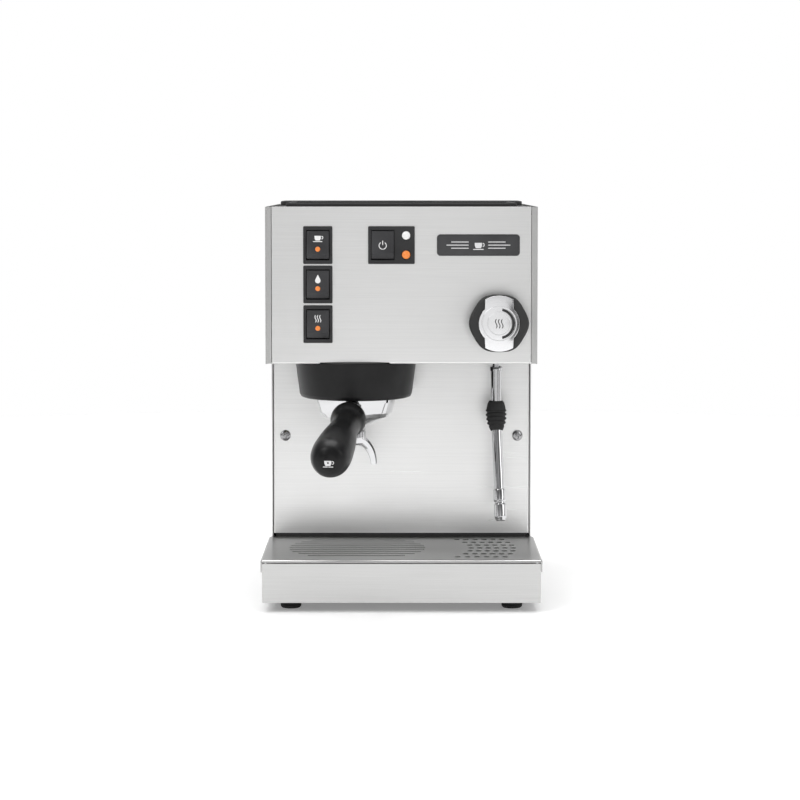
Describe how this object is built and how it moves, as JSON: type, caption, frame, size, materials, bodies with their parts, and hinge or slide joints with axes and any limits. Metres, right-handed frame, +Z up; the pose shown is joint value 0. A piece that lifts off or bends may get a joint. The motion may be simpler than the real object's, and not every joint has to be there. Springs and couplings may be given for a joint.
{
  "type": "espresso machine",
  "caption": "Countertop espresso machine: brushed steel body, one group with a twin-spout portafilter, steam wand, rocker switches, drip tray and rear water tank.",
  "frame": {"origin": "on the surface the machine stands on, midway between its sides and midway between the tip of the portafilter handle and the back panel", "axes": "+X to the right seen from the front, +Y to the back, +Z up; the front faces -Y"},
  "size_m": [0.235, 0.3804, 0.34],
  "materials": {
    "brushed_steel": "horizontally brushed stainless steel",
    "chrome": "polished chrome",
    "black_plastic": "satin moulded black plastic",
    "grey_plastic": "fine-textured charcoal plastic",
    "black_rubber": "matt black rubber",
    "painted_steel": "satin black paint on steel",
    "brass": "machined brass",
    "copper": "drawn copper pipe",
    "tank_plastic": "translucent plastic",
    "silicone": "translucent silicone",
    "amber_lens": "amber lens",
    "clear_lens": "clear lens"
  },
  "bodies": {
    "frame": {"back_panel": "brushed_steel", "badge_plate": "black_plastic", "base_pan": "painted_steel", "bezel_brew": "black_plastic", "bezel_power": "black_plastic", "bezel_steam": "black_plastic", "bezel_water": "black_plastic", "boiler": "brass", "boiler_deck": "painted_steel", "bulkhead": "painted_steel", "cup_warmer_plate": "brushed_steel", "drain_pipe": "copper", "feed_pipe": "copper", "foot_back_left": "black_rubber", "foot_back_right": "black_rubber", "foot_front_left": "black_rubber", "foot_front_right": "black_rubber", "front_panel": "brushed_steel", "group_cover": "black_plastic", "group_gasket": "black_rubber", "group_head": "brass", "lamp_heat": "amber_lens", "lamp_power": "clear_lens", "power_inlet": "black_plastic", "pump": "black_plastic", "relief_valve": "brass", "shower_screen": "chrome", "side_panel_left": "brushed_steel", "side_panel_right": "brushed_steel", "solenoid_valve": "brass", "splash_panel": "brushed_steel", "splash_screw_left": "chrome", "splash_screw_right": "chrome", "steam_pipe": "copper", "steam_valve": "brass", "suction_hose": "silicone", "tank_deck": "black_plastic", "tank_shelf": "painted_steel", "top_frame": "black_plastic", "wand_socket": "chrome"},
    "rocker_brew": {"rocker_brew": "grey_plastic"},
    "rocker_water": {"rocker_water": "grey_plastic"},
    "rocker_steam": {"rocker_steam": "grey_plastic"},
    "rocker_power": {"rocker_power": "grey_plastic"},
    "steam_knob": {"steam_knob": "black_plastic", "knob_insert": "chrome", "valve_spindle": "brass"},
    "wand_ball": {"wand_seat": "silicone"},
    "wand": {"wand_tube": "chrome", "wand_grip": "black_rubber", "wand_tip": "chrome"},
    "portafilter": {"portafilter_body": "chrome", "filter_basket": "chrome", "portafilter_handle": "black_plastic", "double_spout": "chrome"},
    "drip_tray": {"drip_tray": "brushed_steel"},
    "drip_grate": {"drip_grate": "brushed_steel"},
    "water_tank": {"water_tank": "tank_plastic", "dip_tube": "silicone"},
    "tank_lid": {"tank_lid": "black_plastic"}
  },
  "joints": [
    {"name": "rocker_brew_press", "type": "hinge", "parent": "frame", "child": "rocker_brew", "pos_m": [-0.0702, -0.06202, 0.3047], "axis": [-1, 0, 0], "range_deg": [0, 10]},
    {"name": "rocker_water_press", "type": "hinge", "parent": "frame", "child": "rocker_water", "pos_m": [-0.0702, -0.06202, 0.2716], "axis": [-1, 0, 0], "range_deg": [0, 10]},
    {"name": "rocker_steam_press", "type": "hinge", "parent": "frame", "child": "rocker_steam", "pos_m": [-0.0702, -0.06202, 0.2382], "axis": [-1, 0, 0], "range_deg": [0, 10]},
    {"name": "rocker_power_press", "type": "hinge", "parent": "frame", "child": "rocker_power", "pos_m": [-0.0157, -0.06202, 0.3047], "axis": [-1, 0, 0], "range_deg": [0, 10]},
    {"name": "steam_knob_turn", "type": "hinge", "parent": "frame", "child": "steam_knob", "pos_m": [0.081, -0.09202, 0.2404], "axis": [0, -1, 0], "range_deg": [0, 450]},
    {"name": "wand_swivel", "type": "hinge", "parent": "frame", "child": "wand_ball", "pos_m": [0.082, -0.01002, 0.206], "axis": [0, 0, 1], "range_deg": [-60, 75]},
    {"name": "wand_tilt", "type": "hinge", "parent": "wand_ball", "child": "wand", "pos_m": [0.082, -0.01002, 0.206], "axis": [-1, 0, 0], "range_deg": [-8, 20]},
    {"name": "portafilter_turn", "type": "hinge", "parent": "frame", "child": "portafilter", "pos_m": [-0.0392, -0.01802, 0.178], "axis": [0, 0, -1], "range_deg": [-8, 45]},
    {"name": "drip_tray_slide", "type": "slide", "parent": "frame", "child": "drip_tray", "axis": [0, -1, 0], "range_m": [0, 0.12]},
    {"name": "drip_grate_lift", "type": "slide", "parent": "drip_tray", "child": "drip_grate", "axis": [0, 0, 1], "range_m": [0, 0.016]},
    {"name": "water_tank_lift", "type": "slide", "parent": "frame", "child": "water_tank", "axis": [0, 0, 1], "range_m": [0, 0.16]},
    {"name": "tank_lid_lift", "type": "slide", "parent": "water_tank", "child": "tank_lid", "axis": [0, 0, 1], "range_m": [0, 0.04]}
  ]
}
